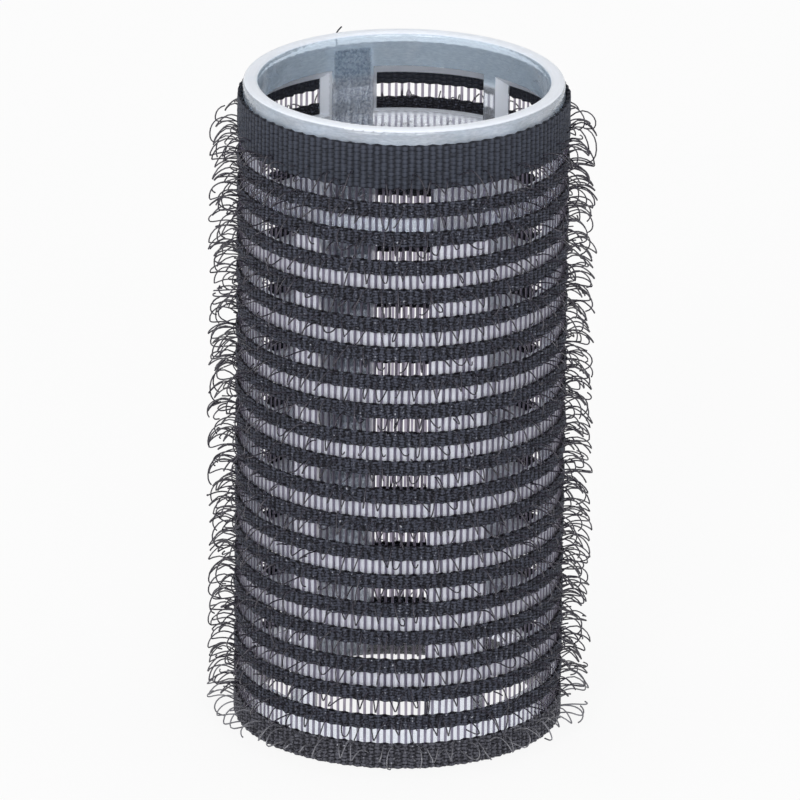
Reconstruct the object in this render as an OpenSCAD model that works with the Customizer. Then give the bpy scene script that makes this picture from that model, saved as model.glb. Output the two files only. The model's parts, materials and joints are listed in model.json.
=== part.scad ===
// Self-gripping hair roller: a moulded window core wrapped in woven hook tape.
// Millimetres, +Z along the roller's axis, origin at the centre of the lower end.

/* [Core] */
// Length of the moulded core
core_len = 63; // [58:0.5:75]
// Outer diameter of the core
core_od = 30; // [26:0.5:40]
// Wall thickness of the core
wall = 1.45; // [1.2:0.05:2]
// Rounding of the rim's edges
rim_round = 0.55; // [0.2:0.05:0.6]
// Height of the plain ring at each end
ring_h = 4.46; // [3.5:0.02:5.5]

/* [Windows] */
// Rows of windows along the core
window_rows = 10; // [6:1:10]
// Height of a window on the outside
window_h = 3.5; // [2.5:0.1:3.8]
// Rise of the sloped head of each window, from the outside to the inside
head_bevel = 1.15; // [0.6:0.05:1.3]
// Rise of each window's sill, from the outside to the inside
sill_bevel = 0.15; // [0:0.05:0.3]
// Flare of each window's sides, from the outside to the inside
jamb_bevel = 0.6; // [0.2:0.05:0.8]
// How far the ribs between rows of windows lie back from the bars, inside and outside
rib_relief = 0.1; // [0.05:0.05:0.3]
// Width of the two wide bars, one of which carries the tape's seam
seam_bar_w = 5.8; // [5:0.1:8]
// Width of the four narrow bars
bar_w = 2.7; // [2.2:0.1:4]
// Turn from the middle of a wide bar to the middle of the next narrow bar, in degrees
bar_turn = 57; // [45:1:65]
// Direction of the wide bar that carries the seam, in degrees from +X
seam_angle = 111; // [0:1:359]

/* [Hook tape] */
// How far the core's upper rim stands above the tape
rim_show = 1.45; // [0.8:0.05:3]
// How far the tape stays above the core's lower end
foot_gap = 0.05; // [0.05:0.05:1]
// Height of the smooth woven edge at the top
selvedge_h = 4.1; // [3:0.1:5]
// Height of the woven edge at the bottom
border_h = 2.5; // [2:0.1:3.5]
// Number of hook bands between the two edges
band_count = 19; // [14:1:22]
// Height of one hook band
band_h = 1.36; // [1.1:0.02:1.6]
// Thickness of the woven bands
band_t = 0.26; // [0.2:0.02:0.4]
// Number of weft yarns round the tape
yarn_count = 150; // [100:2:160]
// Diameter of a weft yarn
yarn_d = 0.24; // [0.18:0.02:0.3]
// Clearance between the core and the yarns
tape_fit = 0.06; // [0.04:0.02:0.2]

/* [Hooks] */
// Hooks on each band
hooks_per_band = 16; // [8:2:20]
// How far the hooks stand out from the bands
hook_reach = 2.6; // [1.6:0.1:3.5]
// How far a hook's two legs are set in from the band's edges
hook_inset = 0.13; // [0.1:0.01:0.3]
// Thickness of a hook's strand
hook_wire = 0.16; // [0.1:0.01:0.24]
// Sideways lean of the hooks, to the left and right in turn
hook_lean = 18; // [0:1:30]

/* [Seam] */
// Number of weft yarns that the glue strip takes in
glue_yarns = 8; // [4:2:10]
// How far the glue rises round the yarns, as a part of their diameter
glue_rise = 0.55; // [0.3:0.05:0.8]

/* [Hidden] */
function band_name(number) = str("hook_band_", number < 10 ? "0" : "", number);

$fn = 96;

// The core's wall and its window grid
core_r = core_od / 2;
bore_r = core_r - wall;
rim_share = 0.45;
rim_r = min(rim_round, rim_share * wall);
rib_h = (core_len - 2 * ring_h - window_rows * window_h) / (window_rows - 1);
window_pitch = window_h + rib_h;
cut_margin = 0.5;

// Bars of one half of the core, from one wide bar to the other: [direction, half the angle that it takes up]
wide_half_angle = asin(seam_bar_w / 2 / core_r);
narrow_half_angle = asin(bar_w / 2 / core_r);
bars = [
  [0, wide_half_angle],
  [bar_turn, narrow_half_angle],
  [180 - bar_turn, narrow_half_angle],
  [180, wide_half_angle]
];

// The tape's layers, from the core outwards, and its rows, from the top down
yarn_axis_r = core_r + tape_fit + yarn_d / 2;
band_in_r = yarn_axis_r + yarn_d / 2;
band_out_r = band_in_r + band_t;
tape_top = core_len - rim_show;
row_gap = (tape_top - foot_gap - selvedge_h - border_h - band_count * band_h) / (band_count + 1);
band_pitch = band_h + row_gap;
first_band_top = tape_top - selvedge_h - row_gap;
yarn_step = 360 / yarn_count;
glue_angle = glue_yarns * yarn_step;
glue_top = core_len - rim_r;

// A hook is a cut loop that ends short of the band, carried on a strand of three sides
hook_sides = 3;
hook_steps = 4;
hook_end = 153;
hook_turns = [for (k = [0 : hook_steps]) hook_end * k / hook_steps];
hook_span = band_h - 2 * hook_inset;
hook_root = band_t / 2;

plastic_colour = [0.74, 0.79, 0.84];
glue_colour = [0.86, 0.88, 0.9];
yarn_colour = [0.42, 0.39, 0.48];
weave_colour = [0.17, 0.17, 0.2];

// A ring between two radii, from z upwards
module ring(inner_r, outer_r, z, h) {
  translate([0, 0, z])
    rotate_extrude()
      translate([inner_r, 0])
        square([outer_r - inner_r, h]);
}

// The wall's section with its edges rounded, swept round the axis
module core_wall() {
  rotate_extrude()
    translate([bore_r, 0]) {
      translate([rim_r, 0])
        square([wall - 2 * rim_r, core_len]);
      translate([0, rim_r])
        square([wall, core_len - 2 * rim_r]);
      for (x = [rim_r, wall - rim_r], y = [rim_r, core_len - rim_r])
        translate([x, y])
          circle(rim_r);
    }
}

// All rows of windows as rings, each with a sill and a steeper head that both slope up to the inside
module window_row_rings() {
  head_slope = head_bevel / wall;
  sill_slope = sill_bevel / wall;
  outer_r = core_r + cut_margin;
  inner_r = bore_r - cut_margin;
  for (row = [0 : window_rows - 1])
    translate([0, 0, ring_h + row * window_pitch])
      rotate_extrude()
        polygon([
          [inner_r, (wall + cut_margin) * sill_slope],
          [outer_r, -cut_margin * sill_slope],
          [outer_r, window_h - cut_margin * head_slope],
          [inner_r, window_h + (wall + cut_margin) * head_slope]
        ]);
}

// Thin rings that set all the ribs back, from the middle of the lowest windows to that of the highest
module rib_relief_rings() {
  z = ring_h + window_h / 2;
  h = (window_rows - 1) * window_pitch;
  ring(bore_r - cut_margin, bore_r + rib_relief, z, h);
  ring(core_r - rib_relief, core_r + cut_margin, z, h);
}

// Point on a window's side, at a radius, where the side flares towards the inside
function jamb_point(r, angle, side) =
  let (flare = side * jamb_bevel * (core_r - r) / wall)
  [r * cos(angle) - flare * sin(angle), r * sin(angle) + flare * cos(angle)];

// Upright columns between the bars, as wide as the windows
module window_columns() {
  outer_r = core_r + cut_margin;
  inner_r = bore_r - cut_margin;
  for (half = [0, 180], column = [0 : len(bars) - 2]) {
    start = half + bars[column][0] + bars[column][1];
    end = half + bars[column + 1][0] - bars[column + 1][1];
    middle = (start + end) / 2;
    far_r = outer_r / cos((end - start) / 2);
    linear_extrude(core_len)
      polygon([
        jamb_point(inner_r, start, -1),
        jamb_point(outer_r, start, -1),
        [far_r * cos(middle), far_r * sin(middle)],
        jamb_point(outer_r, end, 1),
        jamb_point(inner_r, end, 1)
      ]);
  }
}

// Moulded sleeve with a plain ring at each end and a grid of windows between upright bars
module core() {
  color(plastic_colour)
    rotate(seam_angle)
      difference() {
        core_wall();
        intersection() {
          union() {
            window_row_rings();
            rib_relief_rings();
          }
          window_columns();
        }
      }
}

// Weft yarns from one of the tape's edges to the other, standing clear of the seam's centre line
module yarns(first, last) {
  for (i = [first : last])
    rotate((i + 0.5) * yarn_step)
      translate([yarn_axis_r, 0, foot_gap])
        cylinder(d = yarn_d, h = tape_top - foot_gap);
}

// Strip of hot-melt on the wide bar, risen round the yarns that lie in it and up to the core's rim
module seam_glue() {
  color(glue_colour)
    rotate(seam_angle)
      difference() {
        rotate(-glue_angle / 2)
          translate([0, 0, foot_gap])
            rotate_extrude(angle = glue_angle)
              translate([core_r, 0])
                square([tape_fit + glue_rise * yarn_d, glue_top - foot_gap]);
        yarns(-glue_yarns / 2, glue_yarns / 2 - 1);
      }
}

module weft_yarns() {
  color(yarn_colour)
    rotate(seam_angle)
      yarns(0, yarn_count - 1);
}

// Smooth woven edge, with no hooks
module top_selvedge() {
  color(weave_colour)
    ring(band_in_r, band_out_r, tape_top - selvedge_h, selvedge_h);
}

// Centre line of a hook in its own plane: [out from the band, along the roller]
function hook_point(turn) =
  turn == 0 ? [-hook_root, hook_span / 2] : [hook_reach * sin(turn), hook_span / 2 * cos(turn)];

function hook_heading(turn) =
  let (d = turn == 0 ? [1, 0] : [hook_reach * cos(turn), -hook_span / 2 * sin(turn)])
  d / norm(d);

// One hook, standing out along +X from the origin and leaning towards +Y
module hook(lean) {
  out = [cos(lean), sin(lean), 0];
  up = [0, 0, 1];
  across = cross(out, up);
  points = [
    for (turn = hook_turns, side = [0 : hook_sides - 1])
      let (
        p = hook_point(turn),
        d = hook_heading(turn),
        n = -d[1] * out + d[0] * up,
        a = 360 * side / hook_sides
      )
      p[0] * out + p[1] * up + hook_wire / 2 * (cos(a) * n + sin(a) * across)
  ];
  sides = [
    for (k = [0 : hook_steps - 1], side = [0 : hook_sides - 1], half = [0, 1])
      let (
        a = k * hook_sides + side,
        b = k * hook_sides + (side + 1) % hook_sides
      )
      half == 0 ? [a, a + hook_sides, b] : [b, a + hook_sides, b + hook_sides]
  ];
  root = [[for (side = [0 : hook_sides - 1]) side]];
  tip = [[for (side = [hook_sides - 1 : -1 : 0]) hook_steps * hook_sides + side]];
  polyhedron(points, concat(sides, root, tip));
}

// Hooks round one band, centred at a height, leaning left and right in turn
module hooks(z, phase) {
  for (i = [0 : hooks_per_band - 1])
    rotate((i + phase) * 360 / hooks_per_band)
      translate([band_out_r, 0, z])
        hook(i % 2 == 0 ? hook_lean : -hook_lean);
}

// One warp band with its hooks, counted from the top; every other band is turned by half a step
module hook_band(number) {
  z = first_band_top - band_h - (number - 1) * band_pitch;
  color(weave_colour) {
    ring(band_in_r, band_out_r, z, band_h);
    hooks(z + band_h / 2, number % 2 / 2);
  }
}

// Wider woven edge at the bottom, with hooks on its upper half
module bottom_border() {
  color(weave_colour) {
    ring(band_in_r, band_out_r, foot_gap, border_h);
    hooks(foot_gap + border_h - band_h / 2, 0);
  }
}

core();
seam_glue();
weft_yarns();
top_selvedge();
for (number = [1 : band_count])
  hook_band(number);
bottom_border();
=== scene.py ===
import json
import math

import bpy
import numpy as np
from mathutils import Matrix, Vector


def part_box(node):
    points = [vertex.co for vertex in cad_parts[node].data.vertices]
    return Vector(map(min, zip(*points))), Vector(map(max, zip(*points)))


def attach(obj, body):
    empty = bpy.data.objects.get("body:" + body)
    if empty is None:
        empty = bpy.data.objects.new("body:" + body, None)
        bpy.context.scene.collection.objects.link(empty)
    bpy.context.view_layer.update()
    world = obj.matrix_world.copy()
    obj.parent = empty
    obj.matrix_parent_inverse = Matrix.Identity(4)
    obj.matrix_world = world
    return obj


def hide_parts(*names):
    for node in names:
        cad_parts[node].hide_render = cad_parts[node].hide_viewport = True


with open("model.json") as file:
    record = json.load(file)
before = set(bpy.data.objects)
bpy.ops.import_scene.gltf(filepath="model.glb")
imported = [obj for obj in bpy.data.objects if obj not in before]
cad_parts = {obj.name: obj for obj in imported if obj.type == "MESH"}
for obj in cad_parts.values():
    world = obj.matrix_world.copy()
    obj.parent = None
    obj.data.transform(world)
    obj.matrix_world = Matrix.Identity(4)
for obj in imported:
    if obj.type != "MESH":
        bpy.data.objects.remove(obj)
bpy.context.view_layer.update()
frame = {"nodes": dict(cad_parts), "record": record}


# Core: one sleeve moulded in translucent plastic, with plain end rings and rows of bevelled windows
# between them. The CAD solid has its true shape, so it stays and gets its finish here. Levels are
# shares of the sleeve's length, and depths are shares of its wall from the inner to the outer skin.
core = frame["nodes"]["core"]
core_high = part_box("core")[1]
core_radius = core_high.x
core_length = core_high.z
bore_radius = frame["record"]["mounts"][0]["dims"]["r_mm"] / 1000
seam_angle = math.radians(111)
wetted_cosines = (0.986, 0.990)
wetted_levels = (0.976, 0.982)
ring_levels = (0.060, 0.075, 0.925, 0.940)
end_row_levels = (0.128, 0.134, 0.866, 0.872)
foot_levels = (0.100, 0.115)
head_levels = (0.825, 0.840, 0.925, 0.935)
edge_depths = (0.05, 0.10, 0.90, 0.95)
tint_depths = (0.4, 0.6)
states = (0.0, 0.5, 1.0)
cage_clear = 0.10
head_clear = 0.82
ring_clear = 0.68
wetted_clear = 0.95
foot_clear = 0.97
edge_clear = 0.15
wall_rough = 0.10
cage_rough = 0.16
edge_rough = 0.34
wetted_smoothing = 0.09
scratch_size = 0.00016
scratch_stretch = (0.3, 0.3, 1.0)
scratch_depth = 0.000002
scratch_clear = 0.24
scratch_rough = 0.06
cloud_size = 0.004
outer_tint = 0.3
ring_blue = (0.71, 0.85, 0.99)
cage_white = (0.89, 0.93, 1.0)


def start_material(name):
    """A new material with its node tree and the inputs of its Principled surface."""
    material = bpy.data.materials.new(name)
    material.use_nodes = True
    surface = material.node_tree.nodes["Principled BSDF"]
    return material, material.node_tree, surface.inputs


def add_noise(tree, lump, detail=3.0, stretch=(1.0, 1.0, 1.0)):
    """Noise on Object coordinates: the place is stretched per axis, then divided by the lump's size."""
    coords = tree.nodes.new("ShaderNodeTexCoord")
    place = tree.nodes.new("ShaderNodeMapping")
    place.inputs["Scale"].default_value = stretch
    noise = tree.nodes.new("ShaderNodeTexNoise")
    noise.inputs["Scale"].default_value = 1 / lump
    noise.inputs["Detail"].default_value = detail
    tree.links.new(coords.outputs["Object"], place.inputs["Vector"])
    tree.links.new(place.outputs["Vector"], noise.inputs["Vector"])
    return noise.outputs["Fac"]


def add_ramp(tree, value, *stops):
    """A colour or number that runs through stops, each a place and a shade, as the value goes from 0
    to 1, in straight lines between them."""
    ramp = tree.nodes.new("ShaderNodeValToRGB")
    elements = ramp.color_ramp.elements
    while len(elements) < len(stops):
        elements.new(0.5)
    for element, (place, shade) in zip(elements, stops):
        element.position = place
        element.color = (*shade, 1) if isinstance(shade, tuple) else (shade, shade, shade, 1)
    tree.links.new(value, ramp.inputs["Fac"])
    return ramp.outputs["Color"]


def add_math(tree, operation, first, second, third=0.0):
    """One arithmetic step on a socket, a second socket or number, and a third number."""
    step = tree.nodes.new("ShaderNodeMath")
    step.operation = operation
    tree.links.new(first, step.inputs[0])
    step.inputs[2].default_value = third
    if isinstance(second, (int, float)):
        step.inputs[1].default_value = second
    else:
        tree.links.new(second, step.inputs[1])
    return step.outputs["Value"]


def add_level(tree, direction):
    """How far a place lies along a direction: the dot product of the two, on Object coordinates."""
    coords = tree.nodes.new("ShaderNodeTexCoord")
    along = tree.nodes.new("ShaderNodeVectorMath")
    along.operation = "DOT_PRODUCT"
    along.inputs[1].default_value = direction
    tree.links.new(coords.outputs["Object"], along.inputs[0])
    return along.outputs["Value"]


def add_radius(tree):
    """The distance of a place from the roller's axis: the length of its first two coordinates."""
    coords = tree.nodes.new("ShaderNodeTexCoord")
    flat = tree.nodes.new("ShaderNodeVectorMath")
    flat.operation = "MULTIPLY"
    flat.inputs[1].default_value = (1, 1, 0)
    reach = tree.nodes.new("ShaderNodeVectorMath")
    reach.operation = "LENGTH"
    tree.links.new(coords.outputs["Object"], flat.inputs[0])
    tree.links.new(flat.outputs["Vector"], reach.inputs[0])
    return reach.outputs["Value"]


def add_share(tree, value, low, high):
    """A value as a share of the way from low to high, held between 0 and 1."""
    span = tree.nodes.new("ShaderNodeMapRange")
    span.inputs["From Min"].default_value = low
    span.inputs["From Max"].default_value = high
    tree.links.new(value, span.inputs["Value"])
    return span.outputs["Result"]


def add_bump(tree, height, depth, target):
    """Tilts the surface by a height map that is as deep as given, in metres."""
    bump = tree.nodes.new("ShaderNodeBump")
    bump.inputs["Strength"].default_value = 1.0
    bump.inputs["Distance"].default_value = depth
    tree.links.new(height, bump.inputs["Height"])
    tree.links.new(bump.outputs["Normal"], target)


def core_zones(tree):
    """The level along the core and its zones, which are products and differences of ramps from 0 to 1 on
    the level, the depth in the wall and the angle from the seam. Frost lies between the two skins in the
    rings and the window rows next to them, which is on the rims and the bevels. Wall is the ring less
    the frost. Wet is the stretch by the seam where glue wets the plastic, and inner is the wall, weaker
    towards its outer skin."""
    radius = add_radius(tree)
    level = add_share(tree, add_level(tree, (0, 0, 1)), 0, core_length)
    across = add_share(tree, radius, bore_radius, core_radius)
    toward_seam = add_level(tree, (math.cos(seam_angle), math.sin(seam_angle), 0))
    beside_seam = add_math(tree, "DIVIDE", toward_seam, radius)
    wet = add_math(tree, "MULTIPLY", add_ramp(tree, beside_seam, *zip(wetted_cosines, (0, 1))),
                   add_ramp(tree, level, *zip(wetted_levels, (1, 0))))
    ring = add_ramp(tree, level, *zip(ring_levels, (1, 0, 0, 1)))
    ends = add_ramp(tree, level, *zip(end_row_levels, (1, 0, 0, 1)))
    edge = add_ramp(tree, across, *zip(edge_depths, (0, 1, 1, 0)))
    frost = add_math(tree, "MULTIPLY", edge, ends)
    wall = add_math(tree, "SUBTRACT", ring, frost)
    inner = add_math(tree, "MULTIPLY", wall, add_ramp(tree, across, *zip(tint_depths, (1, outer_tint))))
    return level, frost, wall, wet, inner


def frosted_plastic():
    """Milky plastic, a little bluer inside the end rings. The state runs from 0 in the frost, over a half
    in the cage of windows, to 1 in the plain or wetted wall, and sets how clear and how rough it is. The
    foot and the bars below the upper ring are clearer, and fine scratches vary both."""
    material, tree, surface = start_material("frosted_plastic")
    surface["IOR"].default_value = 1.49
    level, frost, wall, wet, inner = core_zones(tree)
    plain = add_math(tree, "SUBTRACT", add_math(tree, "MAXIMUM", wall, wet), frost)
    state = add_math(tree, "MULTIPLY_ADD", plain, 0.5, 0.5)
    scratches = add_noise(tree, scratch_size, 3.0, scratch_stretch)
    foot = add_ramp(tree, level, *zip(foot_levels, (foot_clear, 0)))
    head = add_ramp(tree, level, *zip(head_levels, (0, head_clear, head_clear, 0)))
    clear = add_ramp(tree, state, *zip(states, (edge_clear, cage_clear, ring_clear)))
    clear = add_math(tree, "MAXIMUM", clear, foot)
    clear = add_math(tree, "MAXIMUM", clear, add_math(tree, "SUBTRACT", head, frost))
    wear = add_math(tree, "MULTIPLY_ADD", scratches, scratch_clear, -scratch_clear / 2)
    clear = add_math(tree, "ADD", clear, wear)
    clear = add_math(tree, "MAXIMUM", clear, add_math(tree, "MULTIPLY", wet, wetted_clear))
    tree.links.new(clear, surface["Transmission Weight"])
    rough = add_ramp(tree, state, *zip(states, (edge_rough, cage_rough, wall_rough)))
    rough = add_math(tree, "SUBTRACT", rough, add_math(tree, "MULTIPLY", wet, wetted_smoothing))
    rough = add_math(tree, "ADD", rough, add_math(tree, "MULTIPLY", scratches, scratch_rough))
    tree.links.new(rough, surface["Roughness"])
    clouds = add_math(tree, "SUBTRACT", add_noise(tree, cloud_size), 0.5)
    tint = add_math(tree, "ADD", add_math(tree, "SUBTRACT", inner, foot), clouds)
    tree.links.new(add_ramp(tree, tint, (0.1, cage_white), (0.9, ring_blue)), surface["Base Color"])
    add_bump(tree, scratches, scratch_depth, surface["Normal"])
    return material


core.data.materials.clear()
core.data.materials.append(frosted_plastic())


# Seam glue: a strip of clear hot-melt squeezed between one wide bar and the tape's two ends.
# It sets with a crinkled face, and shows through the bar from inside.
weft_count = 150
weft_step = 2 * math.pi / weft_count
glue_half_angle = 4 * weft_step
glue_past_tape = 0.0001
glue_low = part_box("seam_glue")[0].z
glue_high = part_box("top_selvedge")[1].z + glue_past_tape
glue_rows = 300
glue_columns = 41
glue_edge_wave = 0.10
glue_outer_least = 0.00003
glue_outer_wave = 0.00021
glue_inner_least = 0.000004
glue_inner_wave = 0.00002
glue_mottle = 0.00026
glue_bump = 0.00012
glue_grey = (0.42, 0.45, 0.50)
glue_pale = (0.80, 0.84, 0.88)
glue_white = (0.98, 0.99, 1.0)


def loft_faces(lofts, stations, ring):
    """Faces of lofts laid out as [loft, station, ring point]: four corners between two neighbours on
    each of two stations next to each other, and one cap at each end."""
    index = np.arange(lofts * stations * ring).reshape(lofts, stations, ring)
    here, there = index[:, :-1], index[:, 1:]
    sides = np.stack([here, np.roll(here, -1, 2), np.roll(there, -1, 2), there], -1).reshape(-1, 4)
    return sides, np.concatenate([index[:, 0, ::-1], index[:, -1]])


def put_piece(name, lofts, finishes, nodes):
    """Joins lofts, each given as its rings and the number of its finish, in one mesh that stands for
    the named CAD nodes."""
    points = []
    faces = []
    marks = []
    first = 0
    for rings, finish in lofts:
        for block in loft_faces(*rings.shape[:3]):
            faces.append(block + first)
            marks.append(np.full(len(block), finish))
        points.append(rings.reshape(-1, 3))
        first += len(points[-1])
    corners = np.concatenate([block.ravel() for block in faces])
    sizes = np.concatenate([np.full(len(block), block.shape[1]) for block in faces])
    mesh = bpy.data.meshes.new(name)
    mesh.vertices.add(first)
    mesh.vertices.foreach_set("co", np.concatenate(points).astype(np.float32).ravel())
    mesh.loops.add(len(corners))
    mesh.loops.foreach_set("vertex_index", corners.astype(np.int32))
    mesh.polygons.add(len(sizes))
    mesh.polygons.foreach_set("loop_start", (np.cumsum(sizes) - sizes).astype(np.int32))
    mesh.polygons.foreach_set("material_index", np.concatenate(marks).astype(np.int32))
    mesh.polygons.foreach_set("use_smooth", np.ones(len(sizes), bool))
    mesh.update(calc_edges=True)
    mesh.validate()
    for finish in finishes:
        mesh.materials.append(finish)
    piece = bpy.data.objects.new(name, mesh)
    bpy.context.scene.collection.objects.link(piece)
    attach(piece, "root")
    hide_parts(*nodes)


def crinkle(across, along, seed, waves, shortest, longest):
    """Sharp-crested wrinkles from 0 to 1: the mean of waves, each one minus the size of a sine that
    runs in its own direction, with its own length and start."""
    rng = np.random.default_rng(seed)
    turn = rng.uniform(0, np.pi, waves)
    start = rng.uniform(0, 2 * np.pi, waves)
    length = rng.uniform(shortest, longest, waves)
    run = across[..., None] * np.cos(turn) + along[..., None] * np.sin(turn)
    return np.mean(1 - np.abs(np.sin(np.pi * run / length + start)), -1)


def around(angle, radius, level):
    """Points at a given angle, radius and height about the roller's axis."""
    angle, radius, level = np.broadcast_arrays(angle, radius, level)
    return np.stack([radius * np.cos(angle), radius * np.sin(angle), level], -1)


def glue_strip():
    """Rings of the strip, one at each height: the outer face stands off the core's wall by its wrinkles,
    and the inner face, turned back, lies on the wall. Both are full in the middle and thin out at the
    sides as the root of one minus the eighth power of the way across."""
    along = np.linspace(glue_low, glue_high, glue_rows)[:, None]
    side = np.linspace(-1, 1, glue_columns)
    ragged = crinkle(along * 0, along, seed=3, waves=5, shortest=0.0012, longest=0.006)
    angle = seam_angle + glue_half_angle * side * (1 + glue_edge_wave * (ragged - 0.5))
    width = core_radius * (angle - seam_angle)
    length = np.broadcast_to(along, width.shape)
    bulk = np.sqrt(np.clip(1 - side**8, 0, 1))
    coarse = crinkle(width, length, seed=5, waves=9, shortest=0.0005, longest=0.0022)
    fine = crinkle(width, length, seed=8, waves=7, shortest=0.0004, longest=0.0016)
    outer = glue_outer_least + bulk * glue_outer_wave * coarse
    inner = glue_inner_least + bulk * glue_inner_wave * fine
    turned = np.concatenate([angle, angle[:, ::-1]], 1)
    stand_off = np.concatenate([outer, inner[:, ::-1]], 1)
    return around(turned, core_radius + stand_off, along)[None]


def hot_melt():
    """Crinkled glue, clear and grey in some places, and white in others where it drew off the tape: one
    noise sets the colour, the roughness and the bump."""
    material, tree, surface = start_material("hot_melt")
    surface["IOR"].default_value = 1.47
    surface["Transmission Weight"].default_value = 0.45
    mottle = add_noise(tree, glue_mottle, 4.0)
    colour = add_ramp(tree, mottle, (0.38, glue_grey), (0.54, glue_pale), (0.62, glue_white))
    tree.links.new(colour, surface["Base Color"])
    tree.links.new(add_ramp(tree, mottle, (0.35, 0.22), (0.65, 0.06)), surface["Roughness"])
    add_bump(tree, mottle, glue_bump, surface["Normal"])
    return material


put_piece("seam_glue_strip", [(glue_strip(), 0)], [hot_melt()], ["seam_glue"])


# Weft yarns: smoky violet-grey yarns that run along the roller, one beside the other round it.
# On the loom two neighbours are one yarn, turned back on itself at the tape's upper edge.
weft_low, weft_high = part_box("weft_yarns")
weft_half_width = 0.000150
weft_half_depth = 0.000045
weft_edge_inset = 0.00015
weft_wander = 0.05 * weft_step
weft_wander_waves = (90, 320)
weft_leg_stations = 48
weft_bend_stations = 9
weft_seed = 11
weft_fibre = 0.00006
weft_patch = 0.0006
weft_bump = 0.00001
weft_smoke = (0.24, 0.22, 0.28)
weft_lilac = (0.38, 0.345, 0.42)
weave_gap = 0.00030
weave_radius = core_radius + weave_gap
thread_sides = 6


def tube_rings(path, first_axis, second_axis, half_first, half_second, sides):
    """Rings of oval tubes: each point of a path plus its two half sizes, times the cosine and the sine
    of the angle round it, along two axes square to the path."""
    turn = 2 * np.pi * np.arange(sides) / sides
    return (path[..., None, :] + half_first * np.cos(turn)[:, None] * first_axis[..., None, :]
            + half_second * np.sin(turn)[:, None] * second_axis[..., None, :])


def unit(vectors):
    """Vectors divided by their lengths."""
    return vectors / np.linalg.norm(vectors, axis=-1, keepdims=True)


def weft_hairpins():
    """Rings of the yarns in pairs: up along the first, round a half circle at the tape's edge, and down
    along the second, with a slow sideways wander of its own on each leg."""
    rng = np.random.default_rng(weft_seed)
    pairs = weft_count // 2
    bend = weave_radius * weft_step / 2
    arc = np.linspace(0, np.pi, weft_bend_stations)
    edge = weft_high.z - weft_edge_inset
    rise = np.linspace(weft_low.z, edge - bend, weft_leg_stations)
    leg = np.ones(weft_leg_stations - 1)
    level = np.concatenate([rise[:-1], edge - bend + bend * np.sin(arc), rise[-2::-1]])
    swing = np.concatenate([-leg, -np.cos(arc), leg])
    middle = seam_angle + (2 * np.arange(pairs)[:, None] + 1) * weft_step
    waves = rng.uniform(*weft_wander_waves, (2, pairs, 1))
    start = rng.uniform(0, 2 * np.pi, (2, pairs, 1))
    wander = weft_wander * np.sin(waves * level + start).sum(0)
    path = around(middle + swing * weft_step / 2 + wander, weave_radius, level)
    outward = unit(path * np.array([1.0, 1.0, 0.0]))
    across = unit(np.cross(np.gradient(path, axis=1), outward))
    return tube_rings(path, outward, across, weft_half_depth, weft_half_width, thread_sides)


def weft_yarn():
    """Flat smoky violet yarn of loose fibres, mostly air, which dims what lies behind it and hardly bends
    it: dark before something dark, and lilac with light behind it. One noise along the yarn sets its
    colour, and a finer one its roughness and bump."""
    material, tree, surface = start_material("weft_yarn")
    surface["IOR"].default_value = 1.10
    surface["Transmission Weight"].default_value = 0.98
    fibres = add_noise(tree, weft_fibre, 3.0, (1.0, 1.0, 0.12))
    patches = add_noise(tree, weft_patch, 2.0, (1.0, 1.0, 0.4))
    tree.links.new(add_ramp(tree, patches, (0.3, weft_smoke), (0.7, weft_lilac)), surface["Base Color"])
    tree.links.new(add_ramp(tree, fibres, (0.3, 0.25), (0.7, 0.45)), surface["Roughness"])
    add_bump(tree, fibres, weft_bump, surface["Normal"])
    return material


put_piece("weft_yarn_rows", [(weft_hairpins(), 0)], [weft_yarn()], ["weft_yarns"])


# Top selvedge: the tape's plain edge, woven from pairs of black warp threads. At each weft one thread
# of a pair passes over it and the other under it, so each weft is a rib of beads. Along its lower edge
# shiny single filaments stand out of the weave in loops, many of them cut to hooks.
warp_half_depth = 0.00007
warp_swing = 0.00016
pair_offset = 0.00005
seam_gap_angle = 0.2 * weft_step
selvedge_low, selvedge_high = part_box("top_selvedge")
selvedge_pairs = 10
selvedge_hook_rise = 0.0006
# Selvedge colours: dark is painted shade down between the ribs, mixed with dark grit; the glint is a
# painted highlight.
selvedge_dark = (0.018, 0.020, 0.028)
selvedge_pale = (0.050, 0.057, 0.079)
selvedge_painted_glint = (0.062, 0.069, 0.091)
thread_drift = 0.00001
thread_swell = 0.10
thread_turns = (3, 17, 41)
thread_bump = 0.00002
fray_angle = 0.087
fray_lean = 0.05
fray_root = 0.0006
fray_length = 0.0024
fray_inset = 0.0002
fray_stations = 9
hook_radius = 0.000080
hook_sides = 3
hook_stations = 12
stub_stations = 7
hook_hang = 0.0009
hook_smoke = (0.042, 0.039, 0.053)
hook_grey = (0.085, 0.079, 0.104)
filament_patch = 0.0008
filament_gloss_patch = 0.0002
loop_count = 60
loop_spacing = 2 * math.pi / loop_count
loop_kind_shares = (0.36, 0.26, 0.38)
loop_scatter = 0.10
loop_foot_shift = (-0.0003, 0.0002)
loop_reach = (0.0023, 0.0029)
loop_lean = 0.14
loop_hang_share = (0.2, 1.0)
loop_hang_power = 1.3
pointed_half_width = (0.0006, 0.0010)
pointed_twist = (0.05, 0.65)
pointed_rise = (0.0004, 0.0009)
pointed_power = (1.3, 1.8)
round_half_width = (0.00042, 0.00075)
round_twist = (0.70, 1.45)
round_rise = (0.0001, 0.0006)
round_power = (0.8, 1.1)
round_bulge = (0.2, 1.3)
whole_tip_degrees = (82, 98)
cut_tip_degrees = (105, 148)
stub_tip_degrees = (152, 168)


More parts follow.
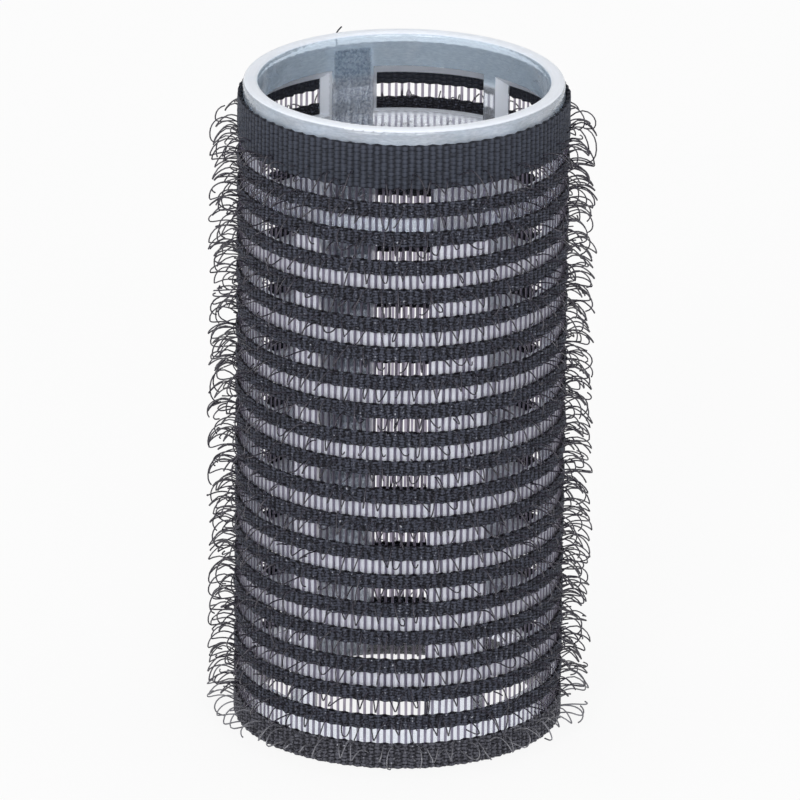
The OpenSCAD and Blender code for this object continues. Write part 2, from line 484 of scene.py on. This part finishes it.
def warp_rings(low, high, pairs, fullness, seed):
    """Rings of pairs of warp threads once round the roller, set evenly between two heights: the radius
    swings out and in as a cosine times its own size, half a wave for each weft, and the second thread of
    a pair swings against the first. Three slow sines let each thread drift in height and swell. Fullness
    is a thread's height over the height that its pair has."""
    rng = np.random.default_rng(seed)
    pitch = (high - low) / pairs
    centres = low + pitch * (np.arange(pairs) + 0.5)
    levels = (centres[:, None] + pair_offset * np.array([-1, 1])).ravel()
    angle = np.linspace(seam_gap_angle, 2 * np.pi - seam_gap_angle, 4 * weft_count + 1)
    threads = len(levels)
    beat = np.cos(np.pi * (angle / weft_step - 0.5) + np.pi * np.arange(threads)[:, None])
    start = rng.uniform(0, 2 * np.pi, (len(thread_turns), threads, 1))
    turns = np.array(thread_turns)[:, None, None]
    drift = thread_drift * np.sin(turns * angle + start).sum(0)
    swell = 1 + thread_swell * np.sin(turns[::-1] * angle + start).sum(0)
    radius = weave_radius + warp_swing * swell * beat * np.abs(beat)
    path = around(seam_angle + angle, radius, levels[:, None] + drift)
    run = unit(np.gradient(path, axis=1))
    upward = np.broadcast_to(np.array([0.0, 0.0, 1.0]), path.shape)
    outward = unit(np.cross(run, upward))
    return tube_rings(path, upward, outward, fullness * pitch / 2, warp_half_depth, thread_sides)


def black_yarn(name, dark, pale, painted_glint, lump, grit):
    """Black thread with painted shade, dark down between the ribs and paler on top of them: the share
    of the way out through the weave, plus grit in lumps of a given size, runs from the dark to the pale
    colour and on to a painted glint."""
    material, tree, surface = start_material(name)
    surface["Specular IOR Level"].default_value = 0.18
    fibres = add_noise(tree, lump, 2.0)
    # Painted shade: the colour darkens with the depth into the weave, down between the ribs.
    deep = weave_radius + 0.3 * warp_swing
    proud = weave_radius + 1.4 * warp_swing
    out = add_share(tree, add_radius(tree), deep, proud)
    lift = add_math(tree, "MULTIPLY", add_math(tree, "SUBTRACT", fibres, 0.5), grit)
    shade = add_math(tree, "MULTIPLY", add_math(tree, "ADD", out, lift), 0.5)
    # The last stop of the ramp is a painted glint.
    colour = add_ramp(tree, shade, (0.08, dark), (0.42, pale), (0.76, pale), (0.86, painted_glint))
    tree.links.new(colour, surface["Base Color"])
    tree.links.new(add_ramp(tree, fibres, (0.3, 0.65), (0.7, 0.35)), surface["Roughness"])
    add_bump(tree, fibres, thread_bump, surface["Normal"])
    return material


def frayed_end():
    """Rings of one thread end that stands up at the seam: it leaves the weave, rises over the rim, and
    leans to one side by the fourth power of its way up."""
    way = np.linspace(0, 1, fray_stations)
    angle = seam_angle + fray_angle - fray_lean * way**4
    height = selvedge_high.z - fray_root + fray_length * way
    path = around(angle, weave_radius - fray_inset * way, height)[None]
    outward = unit(path * np.array([1.0, 1.0, 0.0]))
    across = np.cross(unit(np.gradient(path, axis=1)), outward)
    return tube_rings(path, outward, across, warp_half_depth, warp_half_depth, thread_sides)


def loop_rings(level, longest_hang, seed):
    """Rings of one row of loops, each in two strands that start at its two feet. Out from the tape goes
    the reach times the sine of the angle round the loop, and along the foot line half the width times
    its cosine, both raised to a power that makes the loop round or pointed, and a round one bulges with
    the sine. The foot line is twisted out of the row. A strand rises a little, then hangs by a power of
    one minus the cosine. A loop is pointed, closed or cut, and the last two are round: the strands of
    the first two meet at the tip, and a cut one leaves a long hook and a stub."""
    rng = np.random.default_rng(seed)

    def spread(limits):
        """One even draw between two limits for each loop."""
        return rng.uniform(*limits, loop_count)

    kind = rng.choice(3, loop_count, p=loop_kind_shares)
    pointed = kind == 0
    cut = kind == 2
    reach = spread(loop_reach)
    half_width = np.where(pointed, spread(pointed_half_width), spread(round_half_width))
    way = rng.choice([-1, 1], loop_count)
    twist = way * np.where(pointed, spread(pointed_twist), spread(round_twist))
    lean = rng.normal(0, loop_lean, loop_count)
    hang = longest_hang * spread(loop_hang_share)
    rise = np.where(pointed, spread(pointed_rise), spread(round_rise))
    power = np.where(pointed, spread(pointed_power), spread(round_power))
    bulge = np.where(pointed, 0, spread(round_bulge))
    tip = np.radians(np.where(cut, spread(cut_tip_degrees), spread(whole_tip_degrees)))
    stub = np.where(cut, np.radians(spread(stub_tip_degrees)), tip)
    flip = rng.choice([-1, 1], loop_count)
    place = np.arange(loop_count) + 0.5 + rng.normal(0, loop_scatter, loop_count)
    foot_angle = seam_angle + loop_spacing * place
    foot_level = level + spread(loop_foot_shift)
    outward = around(foot_angle, 1.0, 0.0)[:, None]
    sideways = around(foot_angle + np.pi / 2, 1.0, 0.0)[:, None]
    upward = np.array([0.0, 0.0, 1.0])

    def strand(begin, end, stations):
        """Rings of one strand of each loop, from one angle round the loop to another."""
        turn = begin + (end - begin) * np.linspace(0, 1, stations)[:, None]
        share = np.abs(np.sin(turn)) ** power
        out = reach * share
        foot = flip * half_width * np.sign(np.cos(turn)) * np.abs(np.cos(turn)) ** power
        foot = foot * (1 + bulge * np.abs(np.sin(turn)))
        aside = foot * np.cos(twist) + lean * out
        fall = np.where(cut & (begin == 0), 1 - np.cos(turn), 1 - np.abs(np.cos(turn)))
        drop = hang * fall**loop_hang_power
        height = foot_level + foot * np.sin(twist) + rise * np.sin(np.pi * share) - drop
        path = ((weave_radius + out).T[..., None] * outward + aside.T[..., None] * sideways
                + height.T[..., None] * upward)
        run = unit(np.gradient(path, axis=1))
        tilt = np.sin(twist)[:, None, None] * sideways - np.cos(twist)[:, None, None] * upward
        second = unit(np.cross(run, np.broadcast_to(tilt, path.shape)))
        return tube_rings(path, np.cross(second, run), second, hook_radius, hook_radius, hook_sides)

    return [strand(0.0, tip, hook_stations), strand(np.pi, stub, stub_stations)]


def shiny_filament(name, dark, pale):
    """Smooth smoky single filament, which lets a little light through: a coarse noise sets its colour
    between dark and pale, and a finer one how glossy it is."""
    material, tree, surface = start_material(name)
    surface["IOR"].default_value = 1.53
    surface["Transmission Weight"].default_value = 0.30
    coarse = add_noise(tree, filament_patch, 2.0)
    fine = add_noise(tree, filament_gloss_patch, 2.0)
    tree.links.new(add_ramp(tree, coarse, (0.3, dark), (0.7, pale)), surface["Base Color"])
    tree.links.new(add_ramp(tree, fine, (0.3, 0.10), (0.7, 0.22)), surface["Roughness"])
    return material


selvedge_yarn = black_yarn("selvedge_yarn", selvedge_dark, selvedge_pale, selvedge_painted_glint,
                           lump=0.0003, grit=0.9)
filament = shiny_filament("hook_filament", hook_smoke, hook_grey)
threads = warp_rings(selvedge_low.z, selvedge_high.z, selvedge_pairs, fullness=1.25, seed=21)
hooks = loop_rings(selvedge_low.z + selvedge_hook_rise, hook_hang, seed=221)
selvedge_lofts = [(threads, 0), (frayed_end(), 0)] + [(strands, 1) for strands in hooks]
put_piece("top_selvedge_weave", selvedge_lofts, [selvedge_yarn, filament], ["top_selvedge"])


# Hook bands: narrow bands of black warp threads woven round the wefts, with open rows between them.
# A row of loops and hooks, of the same filament as the selvedge's, stands out from the middle of each.
band_count = 19
band_pairs = 5
# Band colours: dark is painted shade down between the ribs, mixed with dark grit; the glint is a painted
# highlight.
band_dark = (0.010, 0.010, 0.014)
band_pale = (0.062, 0.067, 0.093)
band_painted_glint = (0.45, 0.46, 0.50)

band_yarn = black_yarn("band_yarn", band_dark, band_pale, band_painted_glint, lump=0.0002, grit=4.0)
for band in range(1, band_count + 1):
    node = f"hook_band_{band:02d}"
    band_low, band_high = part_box(node)
    threads = warp_rings(band_low.z, band_high.z, band_pairs, fullness=1.1, seed=100 + band)
    hooks = loop_rings((band_low.z + band_high.z) / 2, hook_hang, seed=200 + band)
    band_lofts = [(threads, 0)] + [(strands, 1) for strands in hooks]
    put_piece(f"{node}_weave", band_lofts, [band_yarn, filament], [node])


# Bottom border: the wider band at the tape's other edge, woven like the rest, which stands next to
# the surface that the roller rests on. Its hooks come from its upper half.
border_low, border_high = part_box("bottom_border")
border_pairs = 7
border_hook_share = 0.72
border_hook_level = border_low.z + border_hook_share * (border_high.z - border_low.z)
border_hook_hang = 0.0004
# Border colours: a paler copy of the band yarn's, a painted highlight; dark is also painted shade down
# between the ribs, and the glint a painted highlight.
border_dark = (0.022, 0.022, 0.028)
border_pale = (0.100, 0.101, 0.124)
border_painted_glint = (0.50, 0.51, 0.55)
# The border's hook colours are a paler copy of the hook filament's, the same filament: a painted
# highlight.
border_hook_highlit_grey = (0.16, 0.16, 0.18)
border_hook_highlit_pale = (0.32, 0.32, 0.36)

border_yarn = black_yarn("border_yarn", border_dark, border_pale, border_painted_glint, lump=0.0002, grit=4.0)
highlit_filament = shiny_filament("border_filament_highlit", border_hook_highlit_grey, border_hook_highlit_pale)
threads = warp_rings(border_low.z + pair_offset, border_high.z, border_pairs, fullness=1.0, seed=140)
hooks = loop_rings(border_hook_level, border_hook_hang, seed=240)
border_lofts = [(threads, 0)] + [(strands, 1) for strands in hooks]
put_piece("bottom_border_weave", border_lofts, [border_yarn, highlit_filament], ["bottom_border"])


# Floor: a plain white sweep under the roller, which shows as white to the camera, in reflections
# and through the plastic, and keeps a part of the roller's shadow.
floor_half = 3.0
floor_drop = 0.00005
floor_shadow_share = 0.12
floor_white = (0.9, 0.9, 0.9, 1)


def add_seen_rays(tree):
    """One where a ray comes from the camera, a reflection or a see-through surface, otherwise nought."""
    rays = tree.nodes.new("ShaderNodeLightPath")
    total = rays.outputs["Is Camera Ray"]
    for name in ("Is Glossy Ray", "Is Transmission Ray"):
        total = add_math(tree, "MAXIMUM", total, rays.outputs[name])
    return total


def white_floor():
    """Matte white for the light that it gives back, mixed with plain white where it is seen."""
    material = bpy.data.materials.new("white_floor")
    material.use_nodes = True
    tree = material.node_tree
    tree.nodes.remove(tree.nodes["Principled BSDF"])
    matte = tree.nodes.new("ShaderNodeBsdfDiffuse")
    matte.inputs["Color"].default_value = floor_white
    plain = tree.nodes.new("ShaderNodeEmission")
    mix = tree.nodes.new("ShaderNodeMixShader")
    share = add_math(tree, "MULTIPLY", add_seen_rays(tree), 1 - floor_shadow_share)
    tree.links.new(share, mix.inputs["Fac"])
    tree.links.new(matte.outputs["BSDF"], mix.inputs[1])
    tree.links.new(plain.outputs["Emission"], mix.inputs[2])
    tree.links.new(mix.outputs["Shader"], tree.nodes["Material Output"].inputs["Surface"])
    return material


floor_sides = ((-1, -1), (1, -1), (1, 1), (-1, 1))
floor_corners = [(x * floor_half, y * floor_half, -floor_drop) for x, y in floor_sides]
floor_mesh = bpy.data.meshes.new("floor")
floor_mesh.from_pydata(floor_corners, [], [(0, 1, 2, 3)])
floor_mesh.materials.append(white_floor())
floor = bpy.data.objects.new("floor", floor_mesh)
bpy.context.scene.collection.objects.link(floor)


# Light: an even white room, with two soft lamps above the camera, one on each side of it, of which
# the left one is the stronger.
room_light = 0.72
lamp_size = 0.4
left_lamp_place = (-0.34, -1.02, 0.52)
left_lamp_watts = 4.0
right_lamp_place = (0.26, -1.05, 0.52)
right_lamp_watts = 2.7


def white_room():
    """A world that lights the roller at the room's level and is white where it is seen."""
    world = bpy.data.worlds.new("white_room")
    world.use_nodes = True
    tree = world.node_tree
    lit = tree.nodes["Background"]
    lit.inputs["Color"].default_value = (1, 1, 1, 1)
    lit.inputs["Strength"].default_value = room_light
    seen = tree.nodes.new("ShaderNodeBackground")
    seen.inputs["Color"].default_value = (1, 1, 1, 1)
    mix = tree.nodes.new("ShaderNodeMixShader")
    tree.links.new(add_seen_rays(tree), mix.inputs["Fac"])
    tree.links.new(lit.outputs["Background"], mix.inputs[1])
    tree.links.new(seen.outputs["Background"], mix.inputs[2])
    tree.links.new(mix.outputs["Shader"], tree.nodes["World Output"].inputs["Surface"])
    return world


def soft_lamp(name, place, watts):
    """A square soft lamp that faces the middle of the roller."""
    lamp = bpy.data.lights.new(name, "AREA")
    lamp.size = lamp_size
    lamp.energy = watts
    stand = bpy.data.objects.new(name, lamp)
    stand.location = place
    beam = Vector((0, 0, core_length / 2)) - Vector(place)
    stand.rotation_euler = beam.to_track_quat("-Z", "Y").to_euler()
    bpy.context.scene.collection.objects.link(stand)


bpy.context.scene.world = white_room()
soft_lamp("left_lamp", left_lamp_place, left_lamp_watts)
soft_lamp("right_lamp", right_lamp_place, right_lamp_watts)


# Camera: a long lens about a metre in front of the roller and 20 degrees above it, rolled a little,
# which gives the photograph's frame of 800 by 800.
camera_distance = 1.0851
camera_rise = math.radians(20.25)
camera_roll = math.radians(0.66)
camera_aim = Vector((-0.00005, 0, 0.03113))
camera_lens = 520.5
camera_sensor = 36
camera_near = 0.05
camera_far = 20

camera_data = bpy.data.cameras.new("camera")
camera_data.lens = camera_lens
camera_data.sensor_width = camera_sensor
camera_data.clip_start = camera_near
camera_data.clip_end = camera_far
camera = bpy.data.objects.new("camera", camera_data)
sight = Vector((0, math.cos(camera_rise), -math.sin(camera_rise)))
place = Matrix.Translation(camera_aim - camera_distance * sight)
turn = sight.to_track_quat("-Z", "Y").to_matrix().to_4x4()
camera.matrix_world = place @ turn @ Matrix.Rotation(camera_roll, 4, "Z")
bpy.context.scene.collection.objects.link(camera)
bpy.context.scene.camera = camera
bpy.context.scene.view_settings.view_transform = "Standard"
